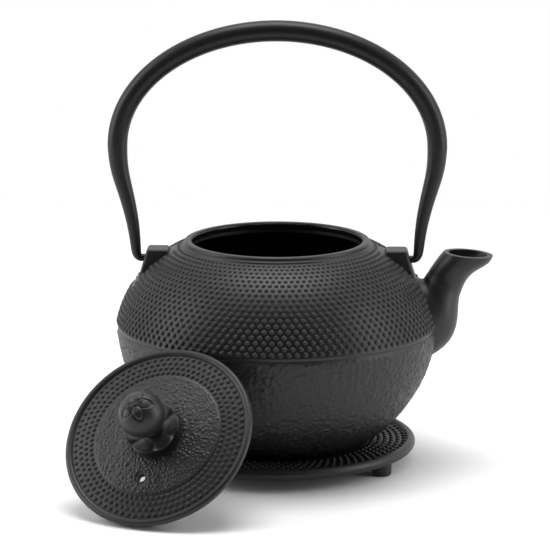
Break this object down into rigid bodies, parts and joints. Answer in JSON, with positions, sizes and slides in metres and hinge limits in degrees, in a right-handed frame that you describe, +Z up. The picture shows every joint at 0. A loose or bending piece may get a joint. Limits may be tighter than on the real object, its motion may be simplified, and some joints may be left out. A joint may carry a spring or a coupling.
{
  "type": "teapot",
  "caption": "Black cast iron teapot with hobnail shoulder, side spout and tall hinged bail on a round footed trivet, its knobbed lid off and leaning on the pot.",
  "frame": {"origin": "on the table, under the pot's axis", "axes": "+Z up along the pot's axis, +X towards the spout, -Y towards the side where the lid leans"},
  "size_m": [0.2121, 0.2216, 0.2288],
  "materials": {
    "black_iron": "satin black enamel paint over rough cast skin",
    "bail_steel": "satin black",
    "screw_steel": "plain",
    "foot_rubber": "matt"
  },
  "bodies": {
    "trivet": {"trivet_plate": "black_iron", "rubber_foot_1": "foot_rubber", "rubber_foot_2": "foot_rubber", "rubber_foot_3": "foot_rubber"},
    "pot": {"pot_body": "black_iron"},
    "bail": {"bail_tube": "bail_steel"},
    "lid": {"lid_plate": "black_iron", "knob_collar": "black_iron", "lid_knob": "black_iron", "knob_screw": "screw_steel"}
  },
  "joints": [
    {"name": "pot_lift", "type": "slide", "parent": "trivet", "child": "pot", "axis": [0, 0, 1], "range_m": [0, 0.12]},
    {"name": "bail_swing", "type": "hinge", "parent": "pot", "child": "bail", "pos_m": [0, 0, 0.1055], "axis": [1, 0, 0], "range_deg": [-120, 100]},
    {"name": "lid_lift", "type": "slide", "parent": "trivet", "child": "lid", "axis": [-0.2946, -0.6873, 0.6639], "range_m": [0, 0.1]}
  ]
}
